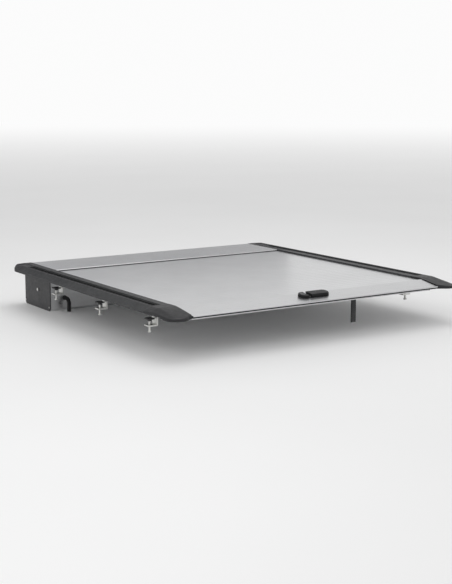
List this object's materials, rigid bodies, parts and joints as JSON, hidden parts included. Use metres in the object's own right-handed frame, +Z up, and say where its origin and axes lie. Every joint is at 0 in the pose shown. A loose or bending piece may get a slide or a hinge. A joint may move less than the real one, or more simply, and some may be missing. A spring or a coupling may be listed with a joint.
{
  "type": "roll-up tonneau cover",
  "caption": "Slatted aluminium truck-bed cover that rolls along two black side rails into a canister, with a sloped end bar, lever latch and lock.",
  "frame": {"origin": "front (bulkhead) face of the canister, mid-width, in the plane the side rails sit on", "axes": "+X right seen from behind the truck, +Y towards the cab, +Z up"},
  "size_m": [1.626, 1.651, 0.2197],
  "materials": {
    "rail_black": "black powder coat, satin",
    "nose_black": "fine-grained black moulding",
    "slide_plastic": "smooth low-friction plastic",
    "seal_rubber": "matte black rubber",
    "zinc_steel": "zinc plated",
    "cast_black": "black coated casting",
    "slat_silver": "satin silver",
    "panel_silver": "satin silver",
    "spring_steel": "oiled spring steel",
    "webbing": "black woven webbing",
    "spout_plastic": "black",
    "handle_plastic": "black, low gloss",
    "lock_chrome": "bright"
  },
  "bodies": {
    "frame": {"side_rail_left": "rail_black", "side_rail_right": "rail_black", "rail_nose_left": "nose_black", "rail_nose_right": "nose_black", "rail_front_cap_left": "nose_black", "rail_front_cap_right": "nose_black", "track_liner_left": "slide_plastic", "track_liner_right": "slide_plastic", "rail_seals": "seal_rubber", "clamp_brackets": "zinc_steel", "bracket_screws": "zinc_steel", "strike_plates": "zinc_steel", "nose_screws": "zinc_steel", "canister_tray": "panel_silver", "canister_lid": "panel_silver", "end_plate_left": "cast_black", "end_plate_right": "cast_black", "end_plate_screws": "zinc_steel", "lid_screws": "zinc_steel", "mouth_seal": "seal_rubber", "bulkhead_seal": "seal_rubber", "drain_spouts": "spout_plastic", "drain_hoses": "seal_rubber", "spool_axle": "zinc_steel", "return_spring": "spring_steel", "curtain_straps": "webbing"},
    "clamps": {"clamp_jaws": "cast_black", "clamp_bolts": "zinc_steel"},
    "spool": {"spool_tube": "panel_silver", "spool_hubs": "slide_plastic", "spring_drum": "zinc_steel"},
    "end_bar": {"end_bar": "panel_silver", "end_bar_cap_left": "nose_black", "end_bar_cap_right": "nose_black", "tailgate_seal": "seal_rubber", "pull_strap": "webbing", "handle_base": "handle_plastic", "handle_screws": "zinc_steel", "handle_pin": "zinc_steel", "lock_barrel": "lock_chrome", "rod_guides": "slide_plastic", "latch_springs": "spring_steel"},
    "handle": {"handle_lever": "handle_plastic"},
    "lock": {"lock_plug": "lock_chrome", "lock_cam": "zinc_steel"},
    "crank": {"latch_crank": "zinc_steel"},
    "latch_right": {"latch_rod_right": "zinc_steel", "latch_bolt_right": "zinc_steel"},
    "latch_left": {"latch_rod_left": "zinc_steel", "latch_bolt_left": "zinc_steel"},
    "curtain_1": {"slats_1": "slat_silver", "glides_1": "slide_plastic"},
    "curtain_2": {"slats_2": "slat_silver", "glides_2": "slide_plastic"},
    "curtain_3": {"slats_3": "slat_silver", "glides_3": "slide_plastic"},
    "curtain_4": {"slats_4": "slat_silver", "glides_4": "slide_plastic"},
    "curtain_5": {"slats_5": "slat_silver", "glides_5": "slide_plastic"}
  },
  "joints": [
    {"name": "cover_slide", "type": "slide", "parent": "frame", "child": "end_bar", "axis": [0, 1, 0], "range_m": [0, 1.17], "deforming": ["slats_2", "glides_2", "slats_3", "glides_3", "slats_4", "glides_4", "slats_5", "glides_5", "curtain_straps", "return_spring"]},
    {"name": "spool_turn", "type": "hinge", "parent": "frame", "child": "spool", "pos_m": [0, -0.16, -0.09], "axis": [-1, 0, 0], "range_deg": [0, 1190]},
    {"name": "handle_lift", "type": "hinge", "parent": "end_bar", "child": "handle", "pos_m": [0, -1.53257, 0.02668], "axis": [-1, 0, 0], "range_deg": [0, 45], "deforming": ["latch_springs"]},
    {"name": "crank_turn", "type": "hinge", "parent": "end_bar", "child": "crank", "pos_m": [0, -1.5365, -0.004], "axis": [0, 0, -1], "range_deg": [0, 40.5]},
    {"name": "right_bolt_slide", "type": "slide", "parent": "end_bar", "child": "latch_right", "axis": [-1, 0, 0], "range_m": [0, 0.0118]},
    {"name": "left_bolt_slide", "type": "slide", "parent": "end_bar", "child": "latch_left", "axis": [1, 0, 0], "range_m": [0, 0.0118]},
    {"name": "lock_turn", "type": "hinge", "parent": "end_bar", "child": "lock", "pos_m": [-0.06, -1.55, 0.01567], "axis": [0, -0.1644, 0.9864], "range_deg": [0, 90]},
    {"name": "clamp_grip", "type": "slide", "parent": "frame", "child": "clamps", "axis": [0, 0, 1], "range_m": [-0.015, 0.02]},
    {"name": "curtain_1_slide", "type": "slide", "parent": "frame", "child": "curtain_1", "axis": [0, 1, 0], "range_m": [0, 1.172]},
    {"name": "curtain_2_slide", "type": "slide", "parent": "frame", "child": "curtain_2", "axis": [0, 1, 0], "range_m": [0, 0.964]},
    {"name": "curtain_3_slide", "type": "slide", "parent": "frame", "child": "curtain_3", "axis": [0, 1, 0], "range_m": [0, 0.724]},
    {"name": "curtain_4_slide", "type": "slide", "parent": "frame", "child": "curtain_4", "axis": [0, 1, 0], "range_m": [0, 0.484]},
    {"name": "curtain_5_slide", "type": "slide", "parent": "frame", "child": "curtain_5", "axis": [0, 1, 0], "range_m": [0, 0.244]}
  ],
  "couplings": [
    {"joint": "spool_turn", "follows": "cover_slide", "rad_per_m": 17.722},
    {"joint": "crank_turn", "follows": "handle_lift", "ratio": 0.88889},
    {"joint": "right_bolt_slide", "follows": "handle_lift", "m_per_rad": 0.014732},
    {"joint": "left_bolt_slide", "follows": "handle_lift", "m_per_rad": 0.014732},
    {"joint": "curtain_1_slide", "follows": "cover_slide", "ratio": 1},
    {"joint": "curtain_2_slide", "follows": "cover_slide", "ratio": 0.8222},
    {"joint": "curtain_3_slide", "follows": "cover_slide", "ratio": 0.6171},
    {"joint": "curtain_4_slide", "follows": "cover_slide", "ratio": 0.412},
    {"joint": "curtain_5_slide", "follows": "cover_slide", "ratio": 0.2068}
  ]
}
